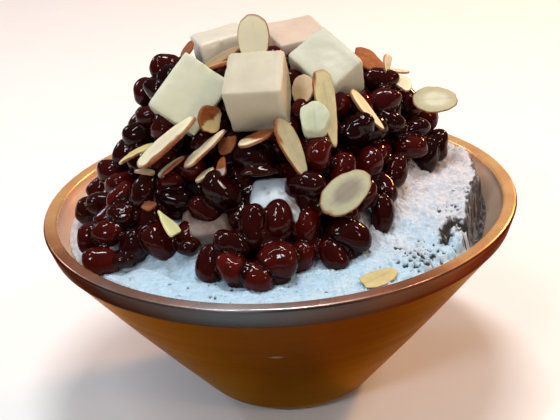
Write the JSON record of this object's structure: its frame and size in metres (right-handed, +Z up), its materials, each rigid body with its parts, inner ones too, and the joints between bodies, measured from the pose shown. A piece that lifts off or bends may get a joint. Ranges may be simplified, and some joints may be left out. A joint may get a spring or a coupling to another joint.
{
  "type": "bingsu",
  "caption": "Shaved milk ice heaped with sweet red beans, rice cake cubes and sliced almonds, in a wide conical double-walled metal bowl.",
  "frame": {"origin": "centre of the bowl's foot, on the surface it stands on", "axes": "+Z up, -Y towards the front of the serving, +X to its right"},
  "size_m": [0.17, 0.17, 0.1414],
  "materials": {
    "lip_steel": "satin, warm copper tone",
    "body_bronze": "satin, dark bronze tone",
    "milk_ice": "fine white snow of milk ice, matte",
    "red_bean": "glossy syrup over dark red beans",
    "rice_cake": "soft, off-white, slightly translucent",
    "almond": "dry cream nut flesh with brown skin edge"
  },
  "bodies": {
    "root": {"almond_back_left": "almond", "almond_big_oval": "almond", "almond_centre_front": "almond", "almond_chunk": "almond", "almond_edge_right": "almond", "almond_far_right": "almond", "almond_flake_left": "almond", "almond_flake_tan": "almond", "almond_green_piece": "almond", "almond_left_upright": "almond", "almond_sliver_top": "almond", "almond_long_left": "almond", "almond_mid_left": "almond", "almond_narrow_left": "almond", "almond_on_ice": "almond", "almond_right_slant": "almond", "almond_right_upright": "almond", "almond_skin_back": "almond", "almond_skin_behind": "almond", "almond_skin_front": "almond", "almond_sliver_right": "almond", "almond_small_narrow": "almond", "almond_small_right": "almond", "almond_standing_top": "almond", "almond_tan_disc": "almond", "almond_under_long": "almond", "almond_under_oval": "almond", "almond_under_top": "almond", "almond_yellow_left": "almond", "bean_heap": "red_bean", "bowl_body": "body_bronze", "bowl_liner": "lip_steel", "rice_cake_back_left": "rice_cake", "rice_cake_back_right": "rice_cake", "rice_cake_buried": "rice_cake", "rice_cake_front": "rice_cake", "rice_cake_left": "rice_cake", "rice_cake_right": "rice_cake", "rice_cake_stained": "rice_cake", "shaved_ice": "milk_ice"}
  },
  "joints": []
}
